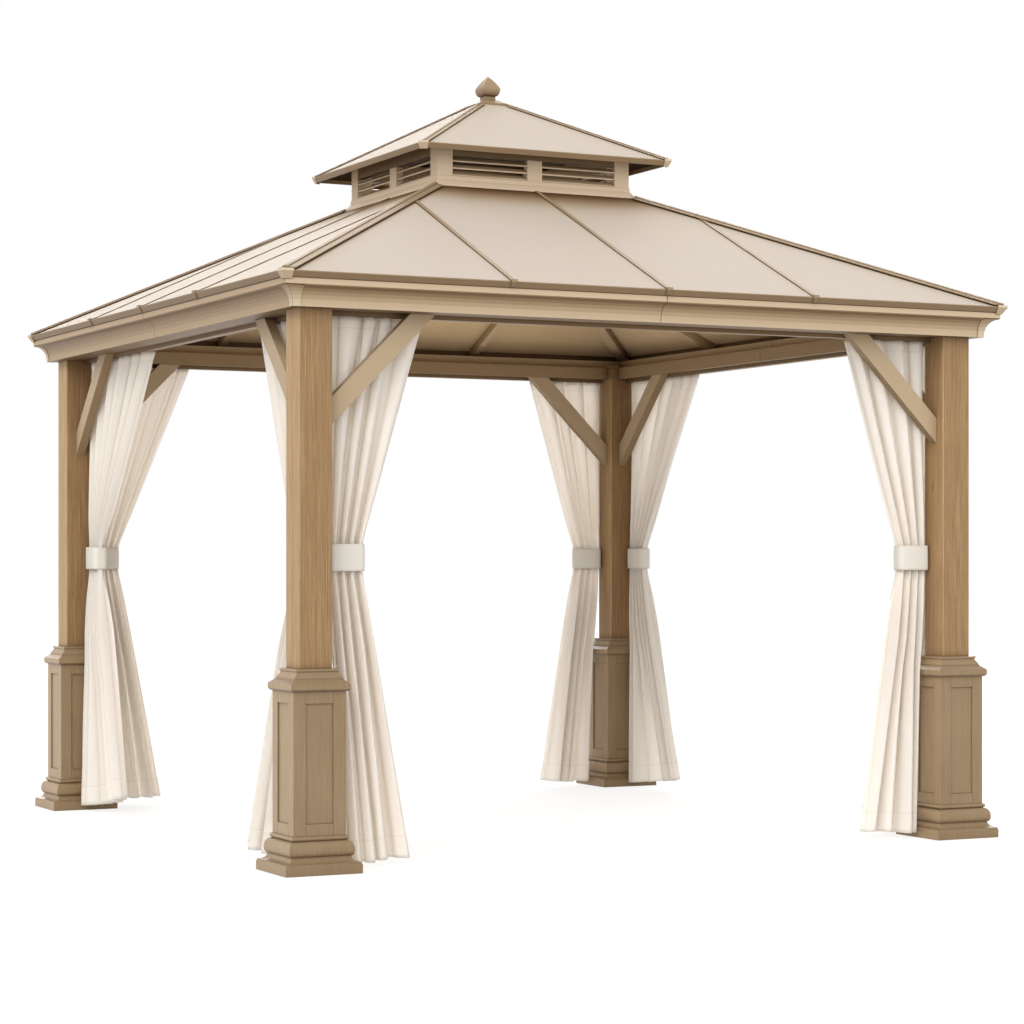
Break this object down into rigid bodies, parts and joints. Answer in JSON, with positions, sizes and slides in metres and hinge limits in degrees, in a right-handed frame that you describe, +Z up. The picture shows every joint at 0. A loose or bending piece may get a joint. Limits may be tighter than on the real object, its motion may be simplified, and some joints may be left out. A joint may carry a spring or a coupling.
{
  "type": "hardtop gazebo",
  "caption": "Square hardtop gazebo on panelled posts, with a hip roof, a louvred cupola, knee braces and tied-back curtains.",
  "frame": {"origin": "on the ground, in the middle of the plan", "axes": "+Z up, the front bay faces -Y and the left bay faces -X"},
  "size_m": [3.672, 3.672, 3.7345],
  "materials": {
    "post_wood": "light brown wood with fine upright grain, satin",
    "pedestal_paint": "taupe painted wood, faint grain, satin",
    "frame_paint": "tan paint, satin",
    "trim_paint": "darker tan paint, satin",
    "roof_sheet": "light beige coated steel sheet, low sheen",
    "curtain_cloth": "ivory woven cloth, matte",
    "band_cloth": "ivory band with stitched edges, matte"
  },
  "bodies": {
    "root": {"posts": "post_wood", "pedestal_bases": "pedestal_paint", "pedestal_bodies": "pedestal_paint", "pedestal_caps": "pedestal_paint", "beams": "frame_paint", "corner_blocks": "frame_paint", "crown_front": "frame_paint", "crown_right": "frame_paint", "crown_back": "frame_paint", "crown_left": "frame_paint", "crown_covers": "frame_paint", "eave_rails": "frame_paint", "rafters": "frame_paint", "hip_rafters": "frame_paint", "knee_braces": "frame_paint", "roof_front": "roof_sheet", "roof_right": "roof_sheet", "roof_back": "roof_sheet", "roof_left": "roof_sheet", "drip_trim": "trim_paint", "corner_caps": "trim_paint", "seam_caps": "trim_paint", "hip_caps": "trim_paint", "cupola_curb": "frame_paint", "cupola_uprights": "frame_paint", "cupola_rails": "frame_paint", "louvres_front": "trim_paint", "louvres_right": "trim_paint", "louvres_back": "trim_paint", "louvres_left": "trim_paint", "upper_roof": "roof_sheet", "upper_drip_trim": "trim_paint", "upper_hip_caps": "trim_paint", "apex_cap": "trim_paint", "finial": "trim_paint", "curtain_rails": "frame_paint", "tie_bands": "band_cloth", "curtain_front_left": "curtain_cloth", "curtain_front_right": "curtain_cloth", "curtain_right_front": "curtain_cloth", "curtain_right_back": "curtain_cloth", "curtain_back_right": "curtain_cloth", "curtain_back_left": "curtain_cloth", "curtain_left_back": "curtain_cloth", "curtain_left_front": "curtain_cloth"}
  },
  "joints": []
}
